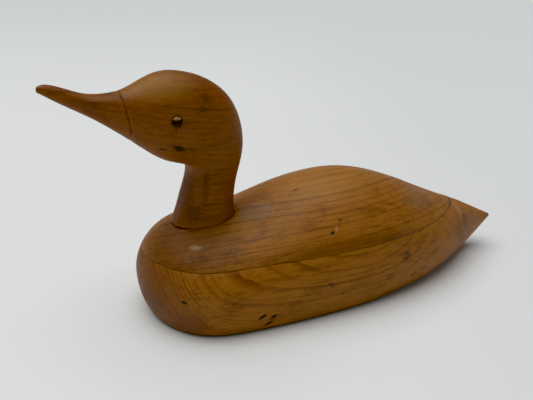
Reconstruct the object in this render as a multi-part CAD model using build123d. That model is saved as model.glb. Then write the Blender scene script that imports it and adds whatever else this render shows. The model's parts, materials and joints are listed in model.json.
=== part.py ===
"""A hollow two-board duck decoy with a carved head and neck, glass eyes, ballast and an anchor ring.

The duck faces -X, its left side is -Y, and it stands on the flat underside of its lower board.
The origin is on the ground, in the middle of its length and width. All sizes are in millimetres.
"""

from build123d import *
from math import cos, pi, sin
import os

# ---- driving dimensions: the two boards of the body ---------------------------------------------
GLUE_PLANE = 50.0  # thickness of the lower board, a two inch plank
NOSE = (-132.9, 31.0)  # foremost point of the breast: x, z
TAIL_X = 188.7  # blunt end of the tail point
DOME_POWER = 1.9  # 2 is an ellipse; a lower power slopes the shoulders of the back
BODY_POINTS = 28  # points round one slice of the body

# x, half width, height of the widest line, height of the back, height of the rounded keel
BODY_TABLE = [
    (-131.3, 13.5, 29.5, 43.5, 17.5),
    (-128.3, 23.5, 28.5, 50.2, 8.0),
    (-121.3, 37.0, 27.5, 58.7, -4.5),
    (-112.3, 48.5, 27.0, 65.3, -14.5),
    (-99.3, 57.5, 26.5, 70.9, -22.5),
    (-80.0, 62.5, 26.0, 73.2, -28.5),
    (-55.0, 64.2, 25.5, 75.8, -31.5),
    (-25.0, 64.8, 25.5, 84.5, -32.0),
    (5.0, 64.6, 25.5, 91.0, -29.5),
    (35.0, 62.8, 25.5, 91.5, -25.0),
    (62.0, 59.0, 26.0, 85.0, -19.0),
    (88.0, 52.8, 26.5, 74.5, -13.0),
    (112.0, 43.8, 27.0, 63.0, -7.5),
    (132.0, 33.0, 27.3, 53.7, -3.2),
    (150.0, 21.5, 27.3, 46.0, 0.6),
    (165.0, 12.2, 27.1, 38.5, 6.2),
    (177.0, 6.3, 26.2, 32.0, 14.0),
    (TAIL_X, 1.6, 24.8, 26.0, 23.4),
]

# ---- driving dimensions: head, bill and neck, carved from one block -----------------------------
JOINT_Z = 70.0  # flat glue joint between the neck and the back
RING_POWER = 2.3  # a little squarer than an ellipse
HEAD_POINTS = 20  # points round one slice of the head

# throat side x, z, then crown side x, z, then half width of the slice between them
HEAD_TABLE = [
    (-188.7, 174.9, -188.5, 176.9, 1.0),
    (-188.1, 173.8, -187.7, 177.8, 2.1),
    (-186.6, 172.8, -185.8, 178.6, 3.2),
    (-182.3, 170.0, -180.6, 178.4, 4.6),
    (-172.3, 163.6, -169.8, 174.6, 6.4),
    (-160.8, 156.6, -157.8, 170.3, 8.0),
    (-149.3, 149.0, -145.8, 169.3, 10.2),
    (-137.8, 140.3, -133.8, 170.9, 13.2),
    (-127.2, 131.7, -119.4, 177.0, 17.4),
    (-117.4, 123.9, -105.4, 180.6, 21.0),
    (-109.0, 118.9, -90.7, 178.9, 22.6),
    (-102.0, 116.3, -75.2, 172.8, 23.0),
    (-96.9, 114.6, -60.6, 160.0, 22.4),
    (-93.2, 111.6, -52.6, 141.2, 21.0),
    (-93.1, 105.6, -51.4, 122.8, 19.4),
    (-95.5, 97.6, -55.4, 105.0, 18.0),
    (-98.9, 88.0, -58.1, 90.0, 17.4),
    (-101.9, 78.8, -58.6, 79.4, 17.6),
    (-104.0, 73.6, -58.3, 73.8, 18.2),
    (-105.6, JOINT_Z, -58.3, JOINT_Z, 18.6),
]

# ---- driving dimensions: hollow, pegs, neck fixings ---------------------------------------------
GAP = 0.1  # clearance of a glued or driven fit
WALL = 18.0
ROOF = 15.0
FLOOR_Z = 17.0
HOLLOW_FRONT, HOLLOW_BACK = -100.0, 100.0
UPPER_HOLLOW_FRONT = -48.0  # the upper board stays solid under the neck

PEG_R = 3.0
PEG_Z = (40.0, 58.0)
PEGS = {"front": (-115.0, 0.0), "rear": (108.0, 0.0), "left": (20.0, -48.5), "right": (20.0, 48.5)}

DOWEL_R, DOWEL_X, DOWEL_Z = 5.0, -86.0, (59.0, 99.0)
NECK_SCREW_X = -69.0
NECK_SCREW_R, NECK_SCREW_TOP = 2.25, 98.0
NECK_HEAD_R, NECK_HEAD_H = 4.5, 3.0
WASHER_R, WASHER_T = 7.5, 1.5

# ---- driving dimensions: eyes and bill line -----------------------------------------------------
EYE_X, EYE_Z = -104.4, 151.2
EYE_R, EYE_DOME_R, EYE_FRONT, EYE_BACK = 3.3, 6.2, 22.9, 18.9
SOCKET_R, SOCKET_FLOOR = 3.9, 16.4
WIRE_R, WIRE_END = 0.5, 9.0
BILL_LINE_TOP, BILL_LINE_LOW = (-137.0, 169.4), (-132.8, 144.0)
BILL_LINE_WIDTH, BILL_LINE_DEPTH = 1.0, 0.8
BILL_LINE_ROWS = slice(5, 11)  # the rows of HEAD_TABLE that the line crosses, with some to spare

# ---- driving dimensions: ballast strip in the underside -----------------------------------------
BALLAST = (110.0, 34.0, 8.0)
BALLAST_X, BALLAST_RECESS, BALLAST_CORNER = 16.0, 0.4, 12.0
BALLAST_SCREWS = [(-40.0, -9.0), (-40.0, 9.0), (40.0, -9.0), (40.0, 9.0)]
BALLAST_SCREW_R, BALLAST_HEAD_R, BALLAST_SCREW_TOP = 1.7, 3.6, 15.0

# ---- driving dimensions: anchor ring in a pocket under the breast -------------------------------
HINGE_X = -82.0
POCKET_FRONT, POCKET_BACK, POCKET_HALF_WIDTH = 21.0, 9.5, 12.5  # from the hinge
POCKET_DEPTH, POCKET_CORNER = 8.0, 5.0
PLATE_T, PLATE_LENGTH, PLATE_WIDTH, PLATE_CORNER = 1.2, 17.2, 12.0, 2.0
RING_WIRE_R, RING_HALF_WIDTH, RING_CORNER, RING_STRAIGHT = 1.3, 9.0, 2.5, 6.0
HINGE_CLEARANCE = 0.08  # running fit of the ring's bar in the saddle
SADDLE_T, SADDLE_HALF_WIDTH, SADDLE_REACH = 1.2, 4.0, 8.4
SADDLE_SCREW_X = 5.6
SADDLE_SCREW_R, SADDLE_HEAD_R, SADDLE_HEAD_H, SADDLE_SCREW_TOP = 1.2, 2.3, 1.4, 14.5

# ---- driving dimensions: wood screws, as shares of the shank or of the head ----------------------
POINT_LENGTH, POINT_TIP_R = 2.0, 0.2  # in shank radii, in mm
HEAD_CHAMFER = 0.3  # of the head's height
SLOT_HALF_WIDTH, SLOT_DEPTH = 0.12, 0.35  # of the head's radius, of its height

FAR = 300.0  # reaches past the duck on every side

UPRIGHT = (Align.CENTER, Align.CENTER, Align.MIN)


def power_point(across, up, power, angle):
    """A point of a superellipse with the two radii given, at an angle that runs all round it."""
    side = 1 if cos(angle) > 0 else -1
    end = 1 if sin(angle) > 0 else -1
    return side * across * abs(cos(angle)) ** (2 / power), end * up * abs(sin(angle)) ** (2 / power)


def body_section(x, half_width, widest, back, keel):
    """One upright slice: a dome above the widest line and half an ellipse below it."""
    points = []
    for step in range(BODY_POINTS):
        angle = 2 * pi * step / BODY_POINTS - pi / 2
        if sin(angle) >= 0:
            y, rise = power_point(half_width, back - widest, DOME_POWER, angle)
        else:
            y, rise = power_point(half_width, widest - keel, 2, angle)
        points.append((x, y, widest + rise))
    return Wire(Spline(points, periodic=True))


def head_section(low_x, low_z, high_x, high_z, half_width, shrink=0.0):
    """One slice of the head block, square to the line from throat to crown."""
    low, high = Vector(low_x, 0, low_z), Vector(high_x, 0, high_z)
    middle, rise = (low + high) / 2, (high - low) / 2
    up = rise * (1 - shrink / rise.length)
    points = []
    for step in range(HEAD_POINTS):
        y, share = power_point(half_width - shrink, 1, RING_POWER, 2 * pi * step / HEAD_POINTS - pi / 2)
        points.append(middle + up * share + Vector(0, y, 0))
    return Wire(Spline(points, periodic=True))


def block(x_range, y_range, z_range):
    """A box between the given limits."""
    sizes = [high - low for low, high in (x_range, y_range, z_range)]
    return Pos(x_range[0], y_range[0], z_range[0]) * Box(*sizes, align=(Align.MIN,) * 3)


def layer(z_low, z_high, x_low=-FAR):
    """Everything between two heights, from x_low to the back."""
    return block((x_low, FAR), (-FAR, FAR), (z_low, z_high))


def pin(x, y, radius, z_low, z_high):
    """An upright cylinder between two heights."""
    return Pos(x, y, z_low) * Cylinder(radius, z_high - z_low, align=UPRIGHT)


def cone(x, y, low_r, high_r, z_low, height):
    """An upright cone or countersink that stands on z_low."""
    return Pos(x, y, z_low) * Cone(low_r, high_r, height, align=UPRIGHT)


def cross_pin(x, z, radius, y_low, y_high):
    """A cylinder that runs across the duck between two y values."""
    return Pos(x, (y_low + y_high) / 2, z) * Rot(90, 0, 0) * Cylinder(radius, y_high - y_low)


def rounded_slab(length, width, corner, z_low, z_high, x):
    """An upright prism on a rectangle with round corners, centred across the duck."""
    return Pos(x, 0, z_low) * extrude(RectangleRounded(length, width, corner), z_high - z_low)


def screw(x, y, z_head, z_top, shank_r, head_r, head_h, countersunk=False):
    """A wood screw that points up: slotted head below, plain shank, and a pointed end."""
    point_h = shank_r * POINT_LENGTH
    shank = pin(x, y, shank_r, z_head, z_top - point_h)
    shank += cone(x, y, shank_r, POINT_TIP_R, z_top - point_h, point_h)
    if countersunk:
        head = cone(x, y, head_r, shank_r, z_head, head_h)
    else:
        head = pin(x, y, head_r, z_head, z_head + head_h)
        head = chamfer(head.edges().group_by(Axis.Z)[0], head_h * HEAD_CHAMFER)
    half = head_r * SLOT_HALF_WIDTH
    slot = block((x - head_r, x + head_r), (y - half, y + half), (z_head, z_head + head_h * SLOT_DEPTH))
    return shank + head - slot


def body_form():
    """The carved outside of both boards, cut flat on the ground."""
    sections = [Vertex(NOSE[0], 0, NOSE[1])] + [body_section(*row) for row in BODY_TABLE]
    return Solid.make_loft(sections) & layer(0, FAR)


def hollow_form():
    """The gouged-out space inside both boards: the body's slices, less a wall all round."""
    sections = [
        body_section(x, half_width - WALL, widest, back - ROOF, keel)
        for x, half_width, widest, back, keel in BODY_TABLE
        if HOLLOW_FRONT < x < HOLLOW_BACK
    ]
    return Solid.make_loft(sections) & layer(FLOOR_Z, FAR)


def head_form():
    """The carved outside of bill, head and neck."""
    return Solid.make_loft([head_section(*row) for row in HEAD_TABLE])


def boards():
    """The lower and the upper board, hollowed, with a flat-bottomed seat for the neck in the upper one."""
    body, hollow = body_form(), hollow_form()
    lower = (body & layer(0, GLUE_PLANE)) - (hollow & layer(0, GLUE_PLANE))
    upper = (body & layer(GLUE_PLANE, FAR)) - (hollow & layer(GLUE_PLANE, FAR, UPPER_HOLLOW_FRONT))
    foot = Face(head_section(*HEAD_TABLE[-1], shrink=-GAP))
    return lower, upper - extrude(foot, amount=FAR, dir=(0, 0, 1))


def bill_line():
    """The shallow cut that parts the bill from the face, over the top and down both cheeks."""
    top, low = Vector(BILL_LINE_TOP[0], 0, BILL_LINE_TOP[1]), Vector(BILL_LINE_LOW[0], 0, BILL_LINE_LOW[1])
    slope = Plane(origin=low, x_dir=(0, 1, 0), z_dir=Vector(0, 1, 0).cross(top - low))
    slab = slope * Box(FAR, FAR, BILL_LINE_WIDTH, align=(Align.CENTER, Align.MIN, Align.CENTER))
    core = Solid.make_loft([head_section(*row, shrink=BILL_LINE_DEPTH) for row in HEAD_TABLE[BILL_LINE_ROWS]])
    return slab - core


def board_pegs():
    """Four blind pegs that line up the two boards."""
    pieces, holes = {}, []
    for name, (x, y) in PEGS.items():
        pieces[f"body_peg_{name}"] = pin(x, y, PEG_R, *PEG_Z)
        holes.append(pin(x, y, PEG_R + GAP / 2, *PEG_Z))
    return pieces, {"body_lower": holes, "body_upper": holes}


def neck_fixings():
    """The dowel and the screw with its washer that hold the neck down on the upper board."""
    head_z = GLUE_PLANE - WASHER_T - NECK_HEAD_H
    washer = pin(NECK_SCREW_X, 0, WASHER_R, GLUE_PLANE - WASHER_T, GLUE_PLANE)
    pieces = {
        "neck_dowel": pin(DOWEL_X, 0, DOWEL_R, *DOWEL_Z),
        "neck_washer": washer - pin(NECK_SCREW_X, 0, NECK_SCREW_R + GAP, 0, GLUE_PLANE),
        "neck_screw": screw(
            NECK_SCREW_X, 0, head_z, NECK_SCREW_TOP, NECK_SCREW_R, NECK_HEAD_R, NECK_HEAD_H
        ),
    }
    holes = [
        pin(DOWEL_X, 0, DOWEL_R + GAP / 2, *DOWEL_Z),
        pin(NECK_SCREW_X, 0, NECK_SCREW_R + GAP / 2, GLUE_PLANE, NECK_SCREW_TOP),
    ]
    return pieces, {"body_upper": holes, "head_neck": holes}


def eyes(cheek):
    """Glass, wire and putty of both eyes, bedded in sockets drilled into the cheeks."""
    pieces, holes = {}, []
    for name, side in (("left", -1), ("right", 1)):

        def across(radius, inner, outer):
            low, high = sorted((side * inner, side * outer))
            return cross_pin(EYE_X, EYE_Z, radius, low, high)

        ball = Pos(EYE_X, side * (EYE_FRONT - EYE_DOME_R), EYE_Z) * Sphere(EYE_DOME_R)
        wire = across(WIRE_R, WIRE_END, EYE_BACK)
        bed = across(SOCKET_R, SOCKET_FLOOR, FAR) & cheek
        pieces[f"eye_glass_{name}"] = across(EYE_R, EYE_BACK, FAR) & ball
        pieces[f"eye_wire_{name}"] = wire
        pieces[f"eye_putty_{name}"] = bed - across(EYE_R, EYE_BACK, FAR) - wire
        holes += [across(SOCKET_R, SOCKET_FLOOR, FAR), wire]
    return pieces, {"head_neck": holes}


def ballast():
    """A lead strip let into the underside, with four countersunk screws."""
    length, width, thick = BALLAST
    top = BALLAST_RECESS + thick
    recess = rounded_slab(length + 2 * GAP, width + 2 * GAP, BALLAST_CORNER + GAP, 0, top, BALLAST_X)
    weight = rounded_slab(length, width, BALLAST_CORNER, BALLAST_RECESS, top, BALLAST_X)
    head_h = BALLAST_HEAD_R - BALLAST_SCREW_R
    pieces, holes = {}, [recess]
    for number, (dx, y) in enumerate(BALLAST_SCREWS, start=1):
        x = BALLAST_X + dx
        pieces[f"ballast_screw_{number}"] = screw(
            x, y, BALLAST_RECESS, BALLAST_SCREW_TOP, BALLAST_SCREW_R, BALLAST_HEAD_R, head_h, countersunk=True
        )
        weight -= pin(x, y, BALLAST_SCREW_R + GAP, 0, top)
        weight -= cone(x, y, BALLAST_HEAD_R + GAP, BALLAST_SCREW_R + GAP, BALLAST_RECESS, head_h)
        holes.append(pin(x, y, BALLAST_SCREW_R + GAP / 2, 0, BALLAST_SCREW_TOP))
    pieces["ballast_weight"] = weight
    return pieces, {"body_lower": holes}


def d_ring(hinge_z):
    """The anchor ring at rest: a D of round wire, its straight bar on the hinge line."""
    side_x = HINGE_X - RING_CORNER
    bow_x = side_x - RING_STRAIGHT
    flat = RING_HALF_WIDTH - RING_CORNER
    diagonal = RING_CORNER * (1 - cos(pi / 4))

    def corner(side):
        """The round corner between the bar and one straight side, from the bar outwards."""
        middle = (HINGE_X - diagonal, side * (RING_HALF_WIDTH - diagonal), hinge_z)
        return (HINGE_X, side * flat, hinge_z), middle, (side_x, side * RING_HALF_WIDTH, hinge_z)

    right, left = corner(1), corner(-1)
    bow = (bow_x - RING_HALF_WIDTH, 0, hinge_z)
    right_end, left_end = [(bow_x, side * RING_HALF_WIDTH, hinge_z) for side in (1, -1)]
    path = Wire([
        Line(left[0], right[0]),
        ThreePointArc(*right),
        Line(right[2], right_end),
        ThreePointArc(right_end, bow, left_end),
        Line(left_end, left[2]),
        ThreePointArc(*reversed(left)),
    ])
    start = Plane(origin=(HINGE_X, 0, hinge_z), x_dir=(1, 0, 0), z_dir=(0, 1, 0))
    return sweep(start * Circle(RING_WIRE_R), path=path)


def anchor():
    """The pocket under the breast with its plate, the saddle that holds the ring, and their screws."""
    pocket_x = HINGE_X + (POCKET_BACK - POCKET_FRONT) / 2
    pocket = rounded_slab(
        POCKET_FRONT + POCKET_BACK, 2 * POCKET_HALF_WIDTH, POCKET_CORNER, 0, POCKET_DEPTH, pocket_x
    )
    plate_z = POCKET_DEPTH - PLATE_T
    plate = rounded_slab(PLATE_LENGTH, PLATE_WIDTH, PLATE_CORNER, plate_z, POCKET_DEPTH, HINGE_X)

    channel_r = RING_WIRE_R + HINGE_CLEARANCE
    hinge_z = plate_z - channel_r
    across = (-SADDLE_HALF_WIDTH, SADDLE_HALF_WIDTH)
    feet_z = plate_z - SADDLE_T
    saddle = cross_pin(HINGE_X, hinge_z, channel_r + SADDLE_T, *across) & layer(0, plate_z)
    saddle += block((HINGE_X - SADDLE_REACH, HINGE_X + SADDLE_REACH), across, (feet_z, plate_z))
    saddle -= cross_pin(HINGE_X, hinge_z, channel_r, *across)
    saddle -= block((HINGE_X - channel_r, HINGE_X + channel_r), across, (hinge_z, plate_z))

    pieces, holes = {}, [pocket]
    for name, side in (("front", -1), ("rear", 1)):
        x = HINGE_X + side * SADDLE_SCREW_X
        pieces[f"anchor_screw_{name}"] = screw(
            x, 0, feet_z - SADDLE_HEAD_H, SADDLE_SCREW_TOP, SADDLE_SCREW_R, SADDLE_HEAD_R, SADDLE_HEAD_H
        )
        saddle -= pin(x, 0, SADDLE_SCREW_R + GAP, 0, plate_z)
        plate -= pin(x, 0, SADDLE_SCREW_R + GAP, 0, POCKET_DEPTH)
        holes.append(pin(x, 0, SADDLE_SCREW_R + GAP / 2, 0, SADDLE_SCREW_TOP))
    pieces |= {"anchor_plate": plate, "anchor_saddle": saddle, "anchor_ring": d_ring(hinge_z)}
    return pieces, {"body_lower": holes}


def build():
    """Every piece of the decoy, by name."""
    head = head_form()
    lower, upper = boards()
    parts = {"body_lower": lower, "body_upper": upper, "head_neck": head - bill_line()}
    for pieces, holes in (board_pegs(), neck_fixings(), eyes(head), ballast(), anchor()):
        parts |= pieces
        for node, cuts in holes.items():
            for cut in cuts:
                parts[node] -= cut
    return parts


if __name__ == "__main__":
    os.makedirs("parts", exist_ok=True)
    for node, shape in build().items():
        export_step(shape, f"parts/{node}.step")
        print(node, round(shape.volume), shape.is_valid)
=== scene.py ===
"""The looks of the two-board duck decoy: varnished wood, glass eyes, brass and lead, on a pale floor.

Everything is in metres. The duck faces -X, its left side is -Y, and it stands on z = 0.
The three wooden blocks get a fine carved skin, which is cast onto the CAD surface and trimmed with
the CAD solid. The other nodes keep their CAD shape and get a material.
"""

import json
from math import cos, pi, radians, sin

import bmesh
import bpy
import numpy as np
from mathutils import Matrix, Vector, noise
from mathutils.bvhtree import BVHTree


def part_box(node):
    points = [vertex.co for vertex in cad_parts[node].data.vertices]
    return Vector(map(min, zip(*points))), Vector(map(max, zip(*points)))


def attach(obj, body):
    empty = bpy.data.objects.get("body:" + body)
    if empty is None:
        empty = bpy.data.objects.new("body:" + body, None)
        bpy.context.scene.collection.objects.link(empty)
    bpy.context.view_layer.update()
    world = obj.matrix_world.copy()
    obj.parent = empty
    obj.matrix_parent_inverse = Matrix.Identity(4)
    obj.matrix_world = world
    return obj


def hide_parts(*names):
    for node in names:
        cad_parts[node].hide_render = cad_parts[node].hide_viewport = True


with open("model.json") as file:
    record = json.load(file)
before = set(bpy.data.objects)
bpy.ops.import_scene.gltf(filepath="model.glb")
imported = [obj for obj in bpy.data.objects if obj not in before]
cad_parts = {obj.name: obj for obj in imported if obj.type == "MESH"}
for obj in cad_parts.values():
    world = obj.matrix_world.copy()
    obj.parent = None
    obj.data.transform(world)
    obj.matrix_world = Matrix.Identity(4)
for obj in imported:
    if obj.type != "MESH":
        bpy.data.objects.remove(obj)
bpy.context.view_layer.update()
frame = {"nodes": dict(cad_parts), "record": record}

MM = 0.001
LEVEL = -0.9999  # a face whose normal points down past this is level
FAR = 0.4  # further than any part of the duck reaches

# ---- carved skins ---------------------------------------------------------------------------------
RIM_SHARE = 0.85  # how strongly the dome's points gather at its rim
INSET = 0.06 * MM  # the skins stay this far inside the CAD surface
SPILL = 1.0 * MM  # how far they pass the flat faces that the CAD solid trims
EDGE = 0.12 * MM  # casts stay this far from a flat face
HEAL_PASSES = 900  # rounds of smoothing over a hole in a skin
SHARP_ANGLE = 35  # edges bent by more degrees than this stay crisp

LOWER_ROWS, LOWER_COLUMNS = 46, 300
UPPER_ROWS, UPPER_COLUMNS = 280, 120
HEAD_ROWS, HEAD_COLUMNS = 230, 120
GATHERED, EVEN = 0.55, 0.45  # shares of crowded and of even spacing in the lower board's rings

SEAM_DEPTH, SEAM_WIDTH = 0.16 * MM, 0.9 * MM  # the sanded dip along the glue seam
BASE_ROUND, BASE_HEIGHT = 1.3 * MM, 3.0 * MM  # the worn edge round the underside
CARVE_LONG, CARVE_FINE = 0.30 * MM, 0.10 * MM  # flats left by the spokeshave, and smaller tool marks
LONG_SCALES, FINE_SCALES = (16, 62, 62), (60, 150, 150)  # about how many there are to a metre
FINE_SHIFT = (0, 0, 7)  # keeps the two patterns apart

# the ends of the cut that marks off the bill
BILL_TOP, BILL_LOW = Vector((-137.0, 0, 169.4)) * MM, Vector((-132.8, 0, 144.0)) * MM
BILL_CUT_REACH = 1.3 * MM  # the strip each side of the bill cut that is healed over, then cut again
BILL_CUT_BACK_X = -120.0 * MM  # the cut is all in front of this
SOCKET_REACH = 4.5 * MM  # radius round an eye that is healed over, then cut again
CHEEK_Y = 10.0 * MM  # the sockets are all further out than this
HEAD_HALF_WIDTH = 32.0 * MM  # casts at the head start this far out to each side
HEAD_CLEARANCE = 3.0 * MM  # and this far past both ends of the slice
SEAT_Z = 70.0 * MM  # the glue joint between neck and back
TIP_CROWN = 0.05 * MM  # how far the bill's end bulges
NECK_CLEAR_Z = 105.0 * MM  # anything of the head below this height is the neck or its foot

# the throat and crown ends of slices through bill, head and neck: x, z, then x, z
HEAD_SLICES = [
    (-188.6, 174.9, -188.4, 176.9),
    (-186.4, 172.6, -185.6, 178.7),
    (-172.3, 163.6, -169.8, 174.6),
    (-149.3, 149.0, -145.8, 169.3),
    (-127.2, 131.7, -119.4, 177.0),
    (-109.0, 118.9, -90.7, 178.9),
    (-99.4, 115.5, -67.5, 166.8),
    (-94.3, 113.0, -55.2, 150.0),
    (-93.1, 107.0, -51.4, 126.0),
    (-96.2, 96.0, -56.6, 100.0),
    (-101.9, 79.0, -58.6, 79.6),
    (-105.6, 70.2, -58.3, 70.2),
]


def welded(node):
    """A CAD node's mesh with its split corners joined, as a closed bmesh."""
    bm = bmesh.new()
    bm.from_mesh(frame["nodes"][node].data)
    bmesh.ops.remove_doubles(bm, verts=bm.verts, dist=MM * MM)
    return bm


def add_object(name, bm):
    """A new mesh object that holds a bmesh."""
    mesh = bpy.data.meshes.new(name)
    bm.to_mesh(mesh)
    bm.free()
    item = bpy.data.objects.new(name, mesh)
    bpy.context.scene.collection.objects.link(item)
    return item


def heal(points, broken):
    """Replaces the broken points of a grid by a smooth sheet through their neighbours."""
    points = points.copy()
    good = ~broken
    points[broken] = points[good].mean(axis=0)
    for _ in range(HEAL_PASSES):
        around = np.zeros_like(points)
        around[1:-1] = points[2:] + points[:-2]
        around[0], around[-1] = 2 * points[1], 2 * points[-2]
        around[:, 1:-1] += points[:, 2:] + points[:, :-2]
        around[:, 0] += 2 * points[:, 1]
        around[:, -1] += 2 * points[:, -2]
        points[broken] = around[broken] / 4
    return points


def carve_depth(point):
    """How deep the knife marks go at a point: long flats with the grain, and finer facets."""
    long_marks = noise.noise(point * Vector(LONG_SCALES))
    fine_marks = noise.noise(point * Vector(FINE_SCALES) + Vector(FINE_SHIFT))
    return CARVE_LONG * (0.5 + 0.5 * long_marks) + CARVE_FINE * (0.5 + 0.5 * fine_marks)


def press_in(bm, extra=None):
    """Moves every vertex inwards by the inset, the knife marks and any extra depth."""
    bm.normal_update()
    moves = []
    for vert in bm.verts:
        depth = INSET + carve_depth(vert.co)
        if extra:
            depth += extra(vert.co)
        moves.append(vert.normal * -depth)
    for vert, move in zip(bm.verts, moves):
        vert.co += move


def close_loop(bm, ring_a, ring_b):
    """Quads between two rings of vertices."""
    count = len(ring_a)
    for k in range(count):
        bm.faces.new((ring_a[k], ring_a[(k + 1) % count], ring_b[(k + 1) % count], ring_b[k]))


def lower_skin():
    """The side of the lower board, in level rings from the ground to the glue seam."""
    source = welded("body_lower")
    tree = BVHTree.FromBMesh(source)
    source.free()
    low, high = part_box("body_lower")
    shares = [(1 - cos(pi * k / LOWER_ROWS)) / 2 for k in range(LOWER_ROWS + 1)]
    even = [k / LOWER_ROWS for k in range(LOWER_ROWS + 1)]
    heights = [low.z + (high.z - low.z) * (GATHERED * a + EVEN * b) for a, b in zip(shares, even)]
    bm = bmesh.new()
    rings = []
    for height in [low.z - SPILL - 2 * BASE_ROUND, *heights, high.z + SPILL]:
        z = min(max(height, low.z + EDGE), high.z - EDGE)
        front = tree.ray_cast(Vector((low.x - FAR, 0, z)), Vector((1, 0, 0)))[0].x
        back = tree.ray_cast(Vector((high.x + FAR, 0, z)), Vector((-1, 0, 0)))[0].x
        left, right = [], []
        for k in range(1, LOWER_COLUMNS + 1):
            x = front + (back - EDGE - front) * (1 - cos(pi / 2 * k / LOWER_COLUMNS))
            for side, points in ((-1, left), (1, right)):
                y = tree.ray_cast(Vector((x, side * FAR, z)), Vector((0, -side, 0)))[0].y
                points.append((x, y, height))
        ring = [(front, 0, height), *left, (back, 0, height), *reversed(right)]
        rings.append([bm.verts.new(p) for p in ring])
    for ring_a, ring_b in zip(rings, rings[1:]):
        close_loop(bm, ring_a, ring_b)
    bm.faces.new(reversed(rings[0]))
    bm.faces.new(rings[-1])

    def extra(point):
        seam = SEAM_DEPTH * np.exp(-(((high.z - point.z) / SEAM_WIDTH) ** 2))
        base = max(0.0, 1 - max(point.z, 0) / BASE_HEIGHT)
        return seam + BASE_ROUND * base**2

    press_in(bm, extra)
    return bm


def upper_skin():
    """The dome of the upper board, in upright slices cast from outside onto the CAD surface."""
    source = welded("body_upper")
    tree = BVHTree.FromBMesh(source)
    source.free()
    low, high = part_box("body_upper")
    base = low.z + EDGE
    front = tree.ray_cast(Vector((low.x - FAR, 0, base)), Vector((1, 0, 0)))[0].x
    back = tree.ray_cast(Vector((high.x + FAR, 0, base)), Vector((-1, 0, 0)))[0].x
    points = np.zeros((UPPER_ROWS, UPPER_COLUMNS + 1, 3))
    broken = np.zeros((UPPER_ROWS, UPPER_COLUMNS + 1), bool)
    neck = welded("head_neck")
    neck_tree = BVHTree.FromBMesh(neck)
    neck.free()
    for i in range(UPPER_ROWS):
        share = (1 - cos(pi * (i + 0.5) / UPPER_ROWS)) / 2
        x = front + (back - front) * share
        for j in range(UPPER_COLUMNS + 1):
            even = j / UPPER_COLUMNS
            turn = pi * (RIM_SHARE * (1 - cos(pi * even)) / 2 + (1 - RIM_SHARE) * even)
            out = Vector((0, -cos(turn), sin(turn)))
            hit = tree.ray_cast(Vector((x, 0, base)) + out * FAR, -out)[0] or Vector((x, 0, base))
            points[i, j] = hit
            above = neck_tree.ray_cast(Vector((hit.x, hit.y, base)), Vector((0, 0, 1)))[0]
            broken[i, j] = above is not None and above.z < NECK_CLEAR_Z
    points = heal(points, broken)
    bm = bmesh.new()
    grid = [[bm.verts.new(p) for p in row] for row in points]
    noses = [bm.verts.new((front, 0, base)), bm.verts.new((back, 0, base))]
    for row_a, row_b in zip(grid, grid[1:]):
        for k in range(UPPER_COLUMNS):
            bm.faces.new((row_a[k], row_b[k], row_b[k + 1], row_a[k + 1]))
    for nose, row, flip in ((noses[0], grid[0], False), (noses[1], grid[-1], True)):
        for k in range(UPPER_COLUMNS):
            corners = (nose, row[k], row[k + 1])
            bm.faces.new(reversed(corners) if flip else corners)
    rim = [noses[0], *[row[0] for row in grid], noses[1], *[row[-1] for row in reversed(grid)]]
    foot = [bm.verts.new((v.co.x, v.co.y, low.z - SPILL)) for v in rim]
    close_loop(bm, foot, rim)
    bm.faces.new(reversed(foot))
    press_in(bm, lambda point: SEAM_DEPTH * np.exp(-(((point.z - low.z) / SEAM_WIDTH) ** 2)))
    return bm


def smooth_between(table, share):
    """A point on the smooth curve through the rows of a table, at a share of the way along it."""
    place = share * (len(table) - 1)
    index = min(int(place), len(table) - 2)
    t = place - index
    rows = [np.array(table[min(max(index + k, 0), len(table) - 1)]) for k in (-1, 0, 1, 2)]
    bend = 2 * rows[1] + (rows[2] - rows[0]) * t
    bend += (2 * rows[0] - 5 * rows[1] + 4 * rows[2] - rows[3]) * t**2
    bend += (3 * rows[1] - rows[0] - 3 * rows[2] + rows[3]) * t**3
    return bend / 2


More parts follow.
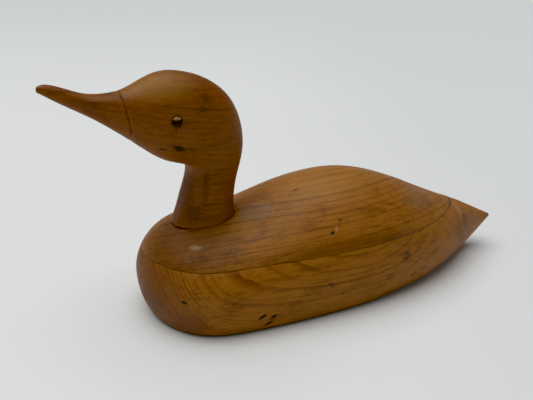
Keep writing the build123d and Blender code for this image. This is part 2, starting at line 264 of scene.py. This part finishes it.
def head_skin():
    """Bill, head and neck, in slices that turn with the neck, cast from outside onto the CAD surface."""
    source = welded("head_neck")
    tree = BVHTree.FromBMesh(source)
    source.free()
    cut_normal = (BILL_TOP - BILL_LOW).cross(Vector((0, 1, 0))).normalized()
    eye_low, eye_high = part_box("eye_glass_left")
    eye = (eye_low + eye_high) / 2
    points = np.zeros((HEAD_ROWS, HEAD_COLUMNS, 3))
    broken = np.zeros((HEAD_ROWS, HEAD_COLUMNS), bool)
    for i in range(HEAD_ROWS):
        low_x, low_z, high_x, high_z = smooth_between(HEAD_SLICES, i / (HEAD_ROWS - 1)) * MM
        middle = Vector((low_x + high_x, 0, low_z + high_z)) / 2
        rise = Vector((high_x - low_x, 0, high_z - low_z)) / 2
        rise *= 1 + HEAD_CLEARANCE / rise.length
        for j in range(HEAD_COLUMNS):
            turn = 2 * pi * j / HEAD_COLUMNS
            out = rise * cos(turn) + Vector((0, HEAD_HALF_WIDTH * sin(turn), 0))
            hit = tree.ray_cast(middle + out, -out)[0]
            points[i, j] = hit
            by_cut = abs((hit - BILL_TOP).dot(cut_normal)) < BILL_CUT_REACH
            by_eye = Vector((hit.x - eye.x, 0, hit.z - eye.z)).length < SOCKET_REACH
            broken[i, j] = (by_cut and hit.x < BILL_CUT_BACK_X) or (by_eye and abs(hit.y) > CHEEK_Y)
    points = heal(points, broken)
    bm = bmesh.new()
    rings = [[bm.verts.new(p) for p in row] for row in points]
    tip = bm.verts.new(points[0].mean(axis=0) - np.array((TIP_CROWN, 0, 0)))
    foot = [bm.verts.new((p[0], p[1], SEAT_Z - SPILL)) for p in points[-1]]
    rings.append(foot)
    for ring_a, ring_b in zip(rings, rings[1:]):
        close_loop(bm, ring_b, ring_a)
    for k in range(HEAD_COLUMNS):
        bm.faces.new((tip, rings[0][k], rings[0][(k + 1) % HEAD_COLUMNS]))
    bm.faces.new(foot)
    bmesh.ops.recalc_face_normals(bm, faces=bm.faces)
    press_in(bm)
    return bm


def boolean(item, other, operation):
    """Applies one boolean between two closed meshes and removes the second object."""
    step = item.modifiers.new("cut", "BOOLEAN")
    step.operation, step.solver, step.object = operation, "MANIFOLD", other
    depsgraph = bpy.context.evaluated_depsgraph_get()
    result = bpy.data.meshes.new_from_object(item.evaluated_get(depsgraph))
    item.modifiers.clear()
    item.data = result
    bpy.data.objects.remove(other)


# dents and gouges: block, then centre, half length, half width and depth in mm, slant in degrees
DENTS = [
    ("body_lower", (-61.2, -62.8, 14.9), 3.1, 0.95, 0.65, 30),
    ("body_lower", (-52.6, -62.6, 12.9), 3.0, 0.85, 0.65, 27),
    ("body_lower", (-55.4, -60.9, 7.4), 3.7, 0.90, 0.70, 33),
    ("body_lower", (-113.4, -47.1, 30.3), 2.4, 0.80, 0.50, -12),
    ("body_upper", (-13.4, -14.1, 85.6), 2.4, 0.60, 0.35, 8),
    ("body_upper", (-0.6, -51.0, 63.4), 1.7, 1.30, 0.45, 0),
    ("body_upper", (8.5, -46.0, 70.0), 1.3, 1.00, 0.40, 0),
    ("head_neck", (-103.0, -19.6, 131.8), 3.9, 1.80, 0.45, -22),
    ("head_neck", (-113.5, -16.4, 131.9), 2.0, 0.50, 0.30, -10),
]


def cut_dents(item, node):
    """Presses the listed dents and gouges into one block."""
    tree = BVHTree.FromObject(item, bpy.context.evaluated_depsgraph_get())
    tools = bmesh.new()
    for block, centre, half_length, half_width, depth, slant in DENTS:
        if block != node:
            continue
        place, normal, _, _ = tree.find_nearest(Vector(centre) * MM)
        along = Vector((cos(radians(slant)), 0, sin(radians(slant))))
        along = (along - normal * along.dot(normal)).normalized()
        turn = Matrix((along, normal.cross(along), normal)).transposed().to_4x4()
        sizes = Matrix.Diagonal((half_length * MM, half_width * MM, 2 * depth * MM, 1))
        lift = Matrix.Translation(place + normal * depth * MM)
        bmesh.ops.create_icosphere(tools, subdivisions=3, radius=1, matrix=lift @ turn @ sizes)
    boolean(item, add_object("dent_tools", tools), "DIFFERENCE")


def carved_block(name, node, skin):
    """The finished mesh of one wooden block, in place of its CAD node."""
    item = add_object(name, skin())
    boolean(item, add_object("cad_copy", welded(node)), "INTERSECT")
    cut_dents(item, node)
    item.data.name = name
    item.data.shade_smooth()
    item.data.set_sharp_from_angle(angle=radians(SHARP_ANGLE))
    for face in item.data.polygons:
        if face.normal.z < LEVEL:  # the level faces underneath stay flat right up to the rounded rim
            face.use_smooth = False
    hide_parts(node)
    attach(item, "decoy")
    return item


# ---- materials ------------------------------------------------------------------------------------
BLACK, SOOT = (0.006, 0.004, 0.003), (0.03, 0.014, 0.006)
GREY, PALE = (0.16, 0.12, 0.08), (0.46, 0.3, 0.15)
STAIN, RUST = (0.055, 0.012, 0.003), (0.13, 0.03, 0.008)
# gold: painted sheen on the crown of the back and the top of the head, and wear on the bill's tip
WORN_GOLD_AND_PAINTED_SHEEN = (0.42, 0.205, 0.045)
PAINTED_SHADE_GLAZE = (0.55, 0.47, 0.4)  # painted shade: darkens the wood and leaves its grain showing
SEAM_HEIGHT, QUIET_LENGTH = 50.0, 40  # mm: the glue seam, and the stretch over which the rings fade


class Graph:
    """A material whose nodes are written as expressions."""

    def __init__(self, name):
        self.material = bpy.data.materials.new(name)
        self.material.use_nodes = True
        self.nodes = self.material.node_tree.nodes
        self.links = self.material.node_tree.links
        self.shader = self.nodes["Principled BSDF"]
        where = self.nodes.new("ShaderNodeTexCoord")
        self.place, self.normal = where.outputs["Object"], where.outputs["Normal"]

    def put(self, socket, value):
        """Links a socket, or sets its value."""
        if isinstance(value, bpy.types.NodeSocket):
            self.links.new(value, socket)
        else:
            socket.default_value = value

    def math(self, operation, *values):
        """One sum on numbers."""
        node = self.nodes.new("ShaderNodeMath")
        node.operation = operation
        for socket, value in zip(node.inputs, values):
            self.put(socket, value)
        return node.outputs[0]

    def vector(self, operation, *values):
        """One sum on vectors, whose answer is a vector or a number."""
        node = self.nodes.new("ShaderNodeVectorMath")
        node.operation = operation
        for socket, value in zip(node.inputs, values):
            self.put(socket, value)
        return node.outputs["Value" if operation in ("LENGTH", "DOT_PRODUCT") else "Vector"]

    def noise(self, scales, detail=2.0, roughness=0.5, shift=0.0):
        """Noise from 0 to 1, with a scale per metre along each axis."""
        place = self.vector("MULTIPLY", self.place, scales)
        place = self.vector("ADD", place, (shift, shift * 1.7, shift * 0.6))
        return self.noise_at(place, detail, roughness)

    def noise_at(self, place, detail=2.0, roughness=0.5):
        """Noise from 0 to 1 at a place that is already scaled."""
        node = self.nodes.new("ShaderNodeTexNoise")
        self.put(node.inputs["Vector"], place)
        self.put(node.inputs["Scale"], 1.0)
        self.put(node.inputs["Detail"], detail)
        self.put(node.inputs["Roughness"], roughness)
        return node.outputs[0]

    def step(self, value, low, high, to_low=0.0, to_high=1.0):
        """A smooth change from one value to another between two limits."""
        node = self.nodes.new("ShaderNodeMapRange")
        node.interpolation_type = "SMOOTHSTEP"
        for socket, number in zip(node.inputs, (value, low, high, to_low, to_high)):
            self.put(socket, number)
        return node.outputs[0]

    def mix(self, share, first, second, blend="MIX"):
        """The first colour with a share of the second laid over it."""
        node = self.nodes.new("ShaderNodeMix")
        node.data_type, node.blend_type = "RGBA", blend
        for index, value in ((0, share), (6, first), (7, second)):
            if index and not isinstance(value, bpy.types.NodeSocket):
                value = (*value, 1.0)
            self.put(node.inputs[index], value)
        return node.outputs[2]

    def spot(self, centre, sizes, ragged=0.5, slant=0.0, flecks=0.0):
        """1 at a mark on the surface and 0 away from it, with a ragged edge; centre and sizes in mm.

        flecks breaks the mark up into short strokes with the grain.
        """
        place = self.vector("SUBTRACT", self.place, tuple(c * MM for c in centre))
        if slant:
            node = self.nodes.new("ShaderNodeVectorRotate")
            node.rotation_type = "Y_AXIS"
            self.put(node.inputs["Vector"], place)
            node.inputs["Angle"].default_value = radians(slant)
            place = node.outputs[0]
        place = self.vector("DIVIDE", place, tuple(s * MM for s in sizes))
        reach = self.vector("LENGTH", place)
        crumbs = self.noise((420, 420, 420), 5.0, 0.65)
        rough = self.math("MULTIPLY_ADD", crumbs, ragged * 2.4, -ragged * 1.2)
        shape = self.step(self.math("ADD", reach, rough), 1.05, 0.35)
        if flecks:
            strokes = self.step(self.noise((260, 1100, 1100), 3.0, 0.6, 8.0), 0.42, 0.6, 1 - flecks, 1.0)
            shape = self.math("MULTIPLY", shape, strokes)
        return shape

    def bump(self, height, distance):
        """Raises the surface by up to a distance where height is 1."""
        node = self.nodes.new("ShaderNodeBump")
        node.inputs["Strength"].default_value = 1.0
        node.inputs["Distance"].default_value = distance
        self.put(node.inputs["Height"], height)
        self.links.new(node.outputs[0], self.shader.inputs["Normal"])

    def finish(self, colour, roughness, **constants):
        """Fills in the shader and returns the material."""
        self.put(self.shader.inputs["Base Color"], colour if hasattr(colour, "node") else (*colour, 1.0))
        self.put(self.shader.inputs["Roughness"], roughness)
        for name, value in constants.items():
            self.shader.inputs[name.replace("_", " ")].default_value = value
        return self.material


def toned(tint, *factors):
    """A tint scaled by one factor, or by one for each of red, green and blue."""
    return tuple(c * k for c, k in zip(tint, factors * 3))


def growth_rings(g, pith, axis, period, wander, late_share, seed):
    """1 on the dark latewood of each growth ring and 0 on the rest, fading along the grain."""
    offset = g.vector("SUBTRACT", g.place, tuple(c * MM for c in pith))
    scaled = g.nodes.new("ShaderNodeVectorMath")
    scaled.operation = "SCALE"
    scaled.inputs[0].default_value = axis
    g.put(scaled.inputs["Scale"], g.vector("DOT_PRODUCT", offset, axis))
    radius = g.vector("LENGTH", g.vector("SUBTRACT", offset, scaled.outputs[0]))
    slow = g.noise((7, 26, 26), 1.0, 0.4, seed)
    quick = g.noise((28, 120, 120), 2.0, 0.5, seed + 3)
    radius = g.math("MULTIPLY_ADD", slow, 2 * wander * MM, radius)
    radius = g.math("MULTIPLY_ADD", quick, 0.35 * wander * MM, radius)
    rings = g.math("DIVIDE", radius, period * MM)
    uneven = g.noise_at(g.math("MULTIPLY", rings, 0.31), 1.0)
    rings = g.math("MULTIPLY_ADD", uneven, 1.6, rings)
    phase = g.math("FRACT", rings)
    ring_tone = g.nodes.new("ShaderNodeTexWhiteNoise")
    ring_tone.noise_dimensions = "1D"
    g.put(ring_tone.inputs["W"], g.math("FLOOR", rings))
    late = g.math("MULTIPLY", g.step(phase, 1 - late_share, 0.95), g.step(phase, 1.0, 0.96))
    line = g.math("MULTIPLY", late, g.math("MULTIPLY_ADD", ring_tone.outputs[0], 0.6, 0.4))
    fade = g.noise((9, 60, 60), 2.0, 0.5, seed + 9)
    return g.math("MULTIPLY", line, g.step(fade, 0.25, 0.65, 0.55, 1.0))


def add_glue_line(g, colour, tint, height, seam):
    """Darkens the colour along a glue line at one height, which is thicker in some places."""
    off = g.math("ABSOLUTE", g.math("SUBTRACT", height, seam * MM))
    wide = g.step(g.noise((45, 45, 45), 2.0, 0.5, 4.0), 0.3, 0.7, 0.25 * MM, 0.5 * MM)
    glue = g.math("SUBTRACT", 1.0, g.math("DIVIDE", off, wide))
    return g.mix(g.step(glue, 0.0, 0.9, 0.0, 0.7), colour, tint)


def add_base_shadow_and_dirt(g, colour, height):
    """Paints a contact shadow: blackens the edge that stands on the ground. Also darkens the level
    underside a little, as dirt.
    """
    top = g.math("MULTIPLY_ADD", g.noise((90, 90, 90), 4.0, 0.6, 2.0), 3.0 * MM, height)
    rise = g.vector("DOT_PRODUCT", g.normal, (0.0, 0.0, 1.0))
    under = g.step(rise, LEVEL, -0.98, 0.3, 1.0)
    # painted contact shadow: black near the ground on the sides; on the level underside only a little,
    # as dirt
    shadow_and_dirt = g.math("MULTIPLY", g.step(top, 3.8 * MM, 2.2 * MM, 0.0, 0.97), under)
    return g.mix(shadow_and_dirt, colour, BLACK)


def wood(
    name,
    pith,
    along,
    period,
    wander,
    marks,
    light,
    dark,
    seed,
    contrast,
    late_share,
    seam=None,
    end_grain=0.0,
    quiet_from=None,
    base_shadow_and_dirt=False,
):
    """Varnished softwood: growth rings round a pith line, fibres, pores, wear and the listed marks, some
    of which are painted shade and sheen.

    pith is a point on the pith line and along its direction. period is the ring spacing in mm, and
    wander how far the rings stray, in mm. late_share is how much of each ring is its dark latewood.
    end_grain is how much darker the block is where it is cut across. seam is the height of the glue
    line and the rings fade behind x = quiet_from, both in mm. The last flag is for the block that
    stands on the ground: it paints a contact shadow along its bottom edge and some dirt underneath.
    """
    g = Graph(name)
    axis = tuple(Vector(along).normalized())
    line = growth_rings(g, pith, axis, period, wander, late_share, seed)
    split = g.nodes.new("ShaderNodeSeparateXYZ")
    g.put(split.inputs[0], g.place)
    place_x, place_z = split.outputs[0], split.outputs[2]
    if quiet_from is not None:
        quiet = g.step(place_x, quiet_from * MM, (quiet_from + QUIET_LENGTH) * MM, 1.0, 0.2)
        line = g.math("MULTIPLY", line, quiet)
    streaks = g.noise((16, 430, 430), 3.0, 0.6, seed + 7)
    fibre = g.noise((55, 1500, 1500), 3.0, 0.6, seed + 1)
    pores = g.step(g.noise((190, 1100, 1100), 2.0, 0.55, seed + 5), 0.63, 0.72)
    cloud = g.noise((10, 22, 22), 3.0, 0.55, seed + 2)
    mottle = g.noise((48, 85, 85), 6.0, 0.72, seed + 6)
    facing = g.math("ABSOLUTE", g.vector("DOT_PRODUCT", g.normal, axis))
    ends = g.step(facing, 0.5, 0.92, 0.0, end_grain)
    amber, red = toned(light, 1.12, 1.02, 0.8), toned(dark, 1.02, 0.82, 0.7)

    colour = g.mix(g.math("MULTIPLY", line, contrast), light, dark)
    colour = g.mix(g.step(streaks, 0.48, 0.7, 0.0, 0.5), colour, dark)
    colour = g.mix(g.step(streaks, 0.46, 0.26, 0.0, 0.22), colour, toned(light, 1.25))
    colour = g.mix(g.step(fibre, 0.35, 0.75, 0.0, 0.32), colour, toned(dark, 0.62))
    colour = g.mix(g.math("MULTIPLY", pores, 0.65), colour, toned(dark, 0.35))
    colour = g.mix(g.step(cloud, 0.55, 0.8, 0.0, 0.5), colour, amber)
    colour = g.mix(g.step(cloud, 0.45, 0.2, 0.0, 0.45), colour, red)
    colour = g.mix(g.step(mottle, 0.5, 0.7, 0.0, 0.38), colour, toned(dark, 0.8, 0.66, 0.6))
    colour = g.mix(g.step(mottle, 0.5, 0.3, 0.0, 0.3), colour, toned(light, 1.15))
    colour = g.mix(g.math("MULTIPLY", ends, 0.55), colour, red)
    colour = g.mix(g.math("MULTIPLY", ends, line), colour, toned(red, 0.4))
    if seam is not None:
        colour = add_glue_line(g, colour, toned(dark, 0.22), place_z, seam)
    # painted contact shadow along the bottom edge, and dirt on the underside
    if base_shadow_and_dirt:
        colour = add_base_shadow_and_dirt(g, colour, place_z)
    # the listed marks: real stains, dents and wear, plus painted shade (the glaze tint, which
    # multiplies) and painted sheen (gold)
    for tint, amount, centre, sizes, *more in marks:
        share = g.math("MULTIPLY", g.spot(centre, sizes, *more), amount)
        colour = g.mix(share, colour, tint, "MULTIPLY" if tint == PAINTED_SHADE_GLAZE else "MIX")

    wear = g.noise((70, 70, 70), 4.0, 0.6, seed + 4)
    roughness = g.math("ADD", g.step(wear, 0.3, 0.75, 0.44, 0.62), g.math("MULTIPLY", line, -0.05))
    height = g.math("ADD", g.math("MULTIPLY", line, 0.5), g.math("MULTIPLY", fibre, 0.35))
    height = g.math("ADD", height, g.math("MULTIPLY", pores, -0.6))
    height = g.math("MULTIPLY_ADD", g.noise((420, 420, 420), 3.0, 0.6, seed), 0.5, height)
    g.bump(height, 0.06 * MM)
    return g.finish(colour, roughness, IOR=1.47, Specular_IOR_Level=0.3)


# marks: tint, amount, centre and sizes in mm, raggedness, slant in degrees, how broken up it is
UPPER_MARKS = [
    # painted shade: the head's shadow over the top of the breast
    (PAINTED_SHADE_GLAZE, 0.9, (-104, -22, 60), (46, 46, 30), 0.15),
    # painted shade: the steep lower flank of the upper board, above the seam
    (PAINTED_SHADE_GLAZE, 0.8, (14, -62, 48), (140, 22, 17), 0.15),
    # painted sheen: lightens the crown of the back
    (WORN_GOLD_AND_PAINTED_SHEEN, 0.3, (8, -10, 92), (95, 50, 18), 0.2),
    (PALE, 0.6, (-99, -32, 62.4), (9.5, 4.0, 1.9), 0.5, -6, 0.5),
    (SOOT, 0.7, (-77, -43, 59), (11, 6, 3.4), 0.6, 14, 0.85),
    (GREY, 0.4, (-48, -18, 76), (18, 13, 9), 0.4),
    (SOOT, 0.8, (-13.4, -14.1, 85.6), (5.0, 1.6, 1.7), 0.6, 8, 0.7),
    (SOOT, 0.6, (-20, -17, 83.5), (5.0, 1.5, 1.5), 0.7, 8, 0.8),
    (BLACK, 0.95, (-0.6, -51, 63.4), (2.4, 2.2, 2.0), 0.4),
    (PALE, 0.5, (3.4, -50, 65.8), (1.2, 3.0, 3.2), 0.5, -20, 0.4),
    (STAIN, 0.85, (8.5, -46, 70), (1.8, 1.8, 1.6), 0.4),
    (STAIN, 0.7, (47, -43.7, 68.7), (4.5, 2.0, 1.6), 0.6, 15, 0.5),
    (GREY, 0.3, (92, -25, 66), (30, 18, 11), 0.3),
]
LOWER_MARKS = [
    (BLACK, 1.0, (-61.2, -62.8, 14.9), (5.0, 3.6, 2.1), 0.2, 30),
    (BLACK, 1.0, (-52.6, -62.6, 12.9), (4.8, 3.6, 1.9), 0.2, 27),
    (BLACK, 1.0, (-55.8, -60.9, 7.0), (6.2, 3.6, 1.9), 0.2, 33),
    (BLACK, 0.95, (-113.4, -47.1, 30.3), (4.0, 3.0, 1.5), 0.25, -12),
    (SOOT, 0.9, (60.6, -58.2, 35.6), (7.5, 5, 4.0), 0.6, 35, 0.7),
    (SOOT, 0.6, (44, -61.6, 22.8), (6, 4, 4.0), 0.7, 30, 0.7),
    (SOOT, 0.75, (-7.6, -64.6, 29.2), (2.4, 4, 4.6), 0.7, 60, 0.5),
    (SOOT, 0.85, (70, -56, 17), (4.5, 4, 1.9), 0.6, 30, 0.4),
    (RUST, 0.75, (-108, -38, 12), (20, 34, 17), 0.45, 20),
    (RUST, 0.3, (-127, -14, 30), (16, 26, 18), 0.3),
    # painted shade: darkens the side of the tail
    (PAINTED_SHADE_GLAZE, 0.6, (138, -24, 31), (48, 24, 18), 0.3),
    (STAIN, 0.4, (-129, -14, 20), (14, 34, 16), 0.5),
    (PALE, 0.3, (139, -15, 44), (6, 18, 8), 0.4, 0, 0.4),
    (SOOT, 0.6, (156, -9, 39), (11, 1.6, 2.0), 0.6, 12, 0.6),
    (SOOT, 0.5, (149, -3, 44), (12, 1.6, 2.0), 0.6, 12, 0.6),
    (STAIN, 0.5, (143, -21, 39), (4, 5, 3.0), 0.4),
    (STAIN, 0.9, (164, -5, 37), (16, 1.5, 2.4), 0.4, 24, 0.3),
    (STAIN, 0.8, (160, -10, 35.5), (12, 1.3, 2.2), 0.4, 24, 0.3),
    (SOOT, 0.7, (188.5, 0, 26), (6.0, 5, 5), 0.3),
]
HEAD_MARKS = [
    # painted highlight: lightens the top of the head
    (WORN_GOLD_AND_PAINTED_SHEEN, 0.4, (-112, -4, 172), (34, 30, 13), 0.2),
    (BLACK, 1.0, (-103.0, -19.6, 131.6), (6.6, 4, 2.9), 0.2, -20),
    (BLACK, 0.85, (-113.5, -16.4, 131.9), (4.4, 3, 1.1), 0.25, -10),
    (SOOT, 0.7, (-95.5, -20.3, 130.5), (5.0, 3, 1.6), 0.4, -16),
    (SOOT, 0.6, (-83.2, -19.3, 164.0), (7, 6, 5), 0.7, 0, 0.9),
    (SOOT, 0.55, (-87.6, -20.5, 157.0), (6, 6, 4), 0.8, 0, 0.9),
    (SOOT, 0.85, (-105.2, -22.5, 145.4), (0.9, 3, 3.0), 0.3),
    (SOOT, 0.3, (-104.4, -22.5, 151.2), (6.2, 4, 5.6), 0.6),
    (STAIN, 0.45, (-100, -8, 94), (14, 20, 26), 0.3),
    (STAIN, 0.8, (-84.5, -16, 99), (4.0, 9, 17), 0.6, -6, 0.5),
    (STAIN, 0.75, (-93, -15, 80), (9.0, 9, 8), 0.6, 0, 0.4),
    (SOOT, 0.8, (-84, -16, 86.5), (10, 8, 1.3), 0.5, 4, 0.5),
    (SOOT, 0.7, (-78, -17.5, 109), (14, 8, 1.2), 0.5, 4, 0.6),
    (SOOT, 0.6, (-189.6, 0, 174.2), (2.4, 3, 1.5), 0.3),
    (WORN_GOLD_AND_PAINTED_SHEEN, 0.45, (-187.5, 0, 178), (4.5, 3, 1.8), 0.4),
]


def wood_upper():
    """Straight grain: rings far from the pith, leaning a little towards the left side."""
    return wood(
        "varnished_pine_upper",
        pith=(0, -75, -100),
        along=(1, 0.01, 0.03),
        period=3.8,
        wander=1.6,
        marks=UPPER_MARKS,
        light=(0.33, 0.124, 0.018),
        dark=(0.128, 0.033, 0.004),
        seed=1.0,
        contrast=1.0,
        late_share=0.36,
        seam=SEAM_HEIGHT,
    )


def wood_lower():
    """Wavy grain on the flanks and close end grain down the breast."""
    return wood(
        "varnished_pine_lower",
        pith=(0, 70, -55),
        along=(1, 0.03, -0.02),
        period=2.3,
        wander=2.6,
        marks=LOWER_MARKS,
        light=(0.335, 0.121, 0.014),
        dark=(0.12, 0.032, 0.003),
        seed=11.0,
        contrast=0.95,
        late_share=0.46,
        seam=SEAM_HEIGHT,
        end_grain=0.8,
        quiet_from=55.0,
        # painted contact shadow along the bottom edge
        base_shadow_and_dirt=True,
    )


def wood_head():
    """Grain along the bill, so that it lies level across the head and the neck."""
    return wood(
        "varnished_pine_head",
        pith=(-100, 10, -30),
        along=(1, 0, -0.17),
        period=3.8,
        wander=1.2,
        marks=HEAD_MARKS,
        light=(0.218, 0.06, 0.004),
        dark=(0.09, 0.02, 0.002),
        seed=23.0,
        contrast=1.0,
        late_share=0.3,
    )


def metal(name, base, tarnish, rough_low, rough_high, scale):
    """Old metal with a patchy tarnish and fine pitting."""
    g = Graph(name)
    patches = g.noise((scale, scale, scale), 5.0, 0.6)
    fine = g.noise((scale * 9, scale * 9, scale * 9), 3.0, 0.6, 3.0)
    colour = g.mix(g.step(patches, 0.35, 0.7), base, tarnish)
    g.bump(g.math("ADD", fine, patches), 0.05 * MM)
    return g.finish(colour, g.step(patches, 0.3, 0.7, rough_low, rough_high), Metallic=1.0)


def birch():
    """Plain turned dowel."""
    g = Graph("birch_dowel")
    fibre = g.noise((900, 900, 40), 3.0, 0.6)
    colour = g.mix(g.step(fibre, 0.3, 0.7), (0.62, 0.43, 0.24), (0.45, 0.28, 0.13))
    g.bump(fibre, 0.04 * MM)
    return g.finish(colour, g.step(fibre, 0.3, 0.7, 0.5, 0.65))


def eye_glass():
    """A blackened brown eye, scratched dull, with a painted highlight: a tan crescent along its upper
    edge.
    """
    g = Graph("worn_eye_glass")
    low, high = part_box("eye_glass_left")
    height = g.nodes.new("ShaderNodeSeparateXYZ")
    g.put(height.inputs[0], g.place)
    rise = g.math("MULTIPLY_ADD", g.noise((700, 700, 700), 4.0, 0.6), 2.2 * MM, height.outputs[2])
    # painted highlight: the tan crescent across the top of the eye
    painted_glint = g.step(rise, high.z - 1.2 * MM, high.z - 0.5 * MM)
    mottle = g.noise((500, 500, 500), 4.0, 0.6)
    colour = g.mix(g.step(mottle, 0.45, 0.65), (0.003, 0.002, 0.002), (0.05, 0.014, 0.005))
    colour = g.mix(painted_glint, colour, (0.36, 0.2, 0.09))
    g.bump(g.math("ADD", g.math("MULTIPLY", mottle, 0.6), painted_glint), 0.12 * MM)
    return g.finish(colour, g.math("MULTIPLY_ADD", mottle, 0.25, 0.35), IOR=1.5, Specular_IOR_Level=0.12)


def putty():
    """Filler stained to match the wood, with dark cracks."""
    g = Graph("cracked_putty")
    lumps = g.noise((700, 700, 700), 4.0, 0.65)
    colour = g.mix(g.step(lumps, 0.44, 0.6), (0.008, 0.004, 0.003), (0.13, 0.04, 0.004))
    g.bump(lumps, 0.2 * MM)
    return g.finish(colour, g.step(lumps, 0.3, 0.7, 0.5, 0.7), Specular_IOR_Level=0.3)


def dress_nodes():
    """Gives every carried-over CAD node its material."""
    brass = metal("tarnished_brass", (0.56, 0.38, 0.14), (0.16, 0.1, 0.045), 0.28, 0.5, 160)
    steel = metal("dull_steel", (0.42, 0.41, 0.39), (0.17, 0.13, 0.1), 0.35, 0.6, 200)
    lead = metal("sheet_lead", (0.3, 0.3, 0.32), (0.13, 0.13, 0.14), 0.5, 0.68, 60)
    looks = {
        "brass": brass,
        "steel": steel,
        "lead": lead,
        "dowel_wood": birch(),
        "eye_glass": eye_glass(),
        "putty": putty(),
    }
    for part in frame["record"]["subparts"]:
        if part["material_slot"] in looks:
            for slot in frame["nodes"][part["node"]].material_slots:
                slot.material = looks[part["material_slot"]]


# ---- stage ----------------------------------------------------------------------------------------
CAMERA_PLACE, CAMERA_AIM = (-0.2365, -0.4608, 0.2819), (0.3777, 0.8447, -0.3791)
LENS, SENSOR = 48.43, 36.0  # mm
AWAY, ACROSS = (0.408, 0.913, 0.0), (0.913, -0.408, 0.0)  # level, from the camera and to its right
FLOOR_REACH = 6.0
FLOOR_NEAR, FLOOR_FAR = (0.81, 0.838, 0.85), (0.695, 0.715, 0.735)
SUN_AIM, SUN_SPREAD, SUN_STRENGTH = (0.12, -0.14, -1.0), 68, 2.4  # the spread is in degrees
SUN_COLOUR, SURROUND_COLOUR = (1.0, 0.985, 0.96), (0.93, 0.99, 1.0, 1.0)
SURROUND_RISE = (0.02, 0.35)  # the surround fades between these heights on the unit sphere
SURROUND_STRENGTH = (0.6, 0.13)  # below and above the fade
BLACK_LEVEL = (0.003, 0.006, 0.013)


def pale_floor():
    """A large pale table top with painted light falloff: a little darker on the right and at the far
    side.
    """
    g = Graph("pale_floor")
    away = g.vector("DOT_PRODUCT", g.place, AWAY)
    across = g.vector("DOT_PRODUCT", g.place, ACROSS)
    # painted light falloff across the floor
    colour = g.mix(g.step(across, -0.1, 0.25, 0.0, 0.7), FLOOR_NEAR, FLOOR_FAR)
    colour = g.mix(g.step(away, 0.2, 1.9), colour, FLOOR_FAR)
    colour = g.mix(g.step(g.noise((3, 3, 3), 2.0), 0.3, 0.7, 0.0, 0.15), colour, FLOOR_FAR)
    bm = bmesh.new()
    bmesh.ops.create_grid(bm, x_segments=8, y_segments=8, size=FLOOR_REACH)
    floor = add_object("floor", bm)
    floor.data.materials.append(g.finish(colour, 0.75))


def overhead_sun():
    """A broad soft source almost overhead: shadows fall a little towards the tail and the left side."""
    light = bpy.data.lights.new("overhead", "SUN")
    light.energy, light.angle, light.color = SUN_STRENGTH, radians(SUN_SPREAD), SUN_COLOUR
    item = bpy.data.objects.new("overhead", light)
    item.rotation_mode = "QUATERNION"
    item.rotation_quaternion = Vector(SUN_AIM).to_track_quat("-Z", "Y")
    bpy.context.scene.collection.objects.link(item)


def pale_surround():
    """A surround that is pale at floor level and dim above."""
    world = bpy.data.worlds.new("surround")
    bpy.context.scene.world = world
    world.use_nodes = True
    nodes, links = world.node_tree.nodes, world.node_tree.links
    surround = nodes["Background"]
    split = nodes.new("ShaderNodeSeparateXYZ")
    links.new(nodes.new("ShaderNodeTexCoord").outputs["Generated"], split.inputs[0])
    fade = nodes.new("ShaderNodeMapRange")
    fade.interpolation_type = "SMOOTHSTEP"
    links.new(split.outputs[2], fade.inputs[0])
    for socket, number in zip(fade.inputs[1:5], SURROUND_RISE + SURROUND_STRENGTH):
        socket.default_value = number
    surround.inputs["Color"].default_value = SURROUND_COLOUR
    links.new(fade.outputs[0], surround.inputs["Strength"])


def set_tones():
    """Plain tones with deep shadows."""
    settings = bpy.context.scene.view_settings
    settings.view_transform, settings.look = "Standard", "None"
    settings.use_curve_mapping = True
    settings.curve_mapping.black_level = BLACK_LEVEL
    settings.curve_mapping.update()


def aim_camera():
    """The camera in front of the duck's left side, looking down a little."""
    data = bpy.data.cameras.new("camera")
    data.sensor_width, data.lens = SENSOR, LENS
    data.clip_start, data.clip_end = 0.01, 50.0
    camera = bpy.data.objects.new("camera", data)
    forward = Vector(CAMERA_AIM)
    right = forward.cross(Vector((0, 0, 1))).normalized()
    turn = Matrix((right, right.cross(forward), -forward)).transposed()
    camera.matrix_world = Matrix.Translation(CAMERA_PLACE) @ turn.to_4x4()
    bpy.context.scene.collection.objects.link(camera)
    bpy.context.scene.camera = camera


# ---- the build: piece, CAD node it replaces, skin, finish slot, material --------------------------
BLOCKS = (
    ("carved_lower_board", "body_lower", lower_skin, "lower_board", wood_lower),
    ("carved_upper_board", "body_upper", upper_skin, "upper_board", wood_upper),
    ("carved_head", "head_neck", head_skin, "head_block", wood_head),
)

for piece_name, cad_node, make_skin, finish_slot, make_wood in BLOCKS:
    block = carved_block(piece_name, cad_node, make_skin)
    block.data.materials.clear()
    block.data.materials.append(make_wood())
dress_nodes()
pale_floor()
overhead_sun()
pale_surround()
set_tones()
aim_camera()
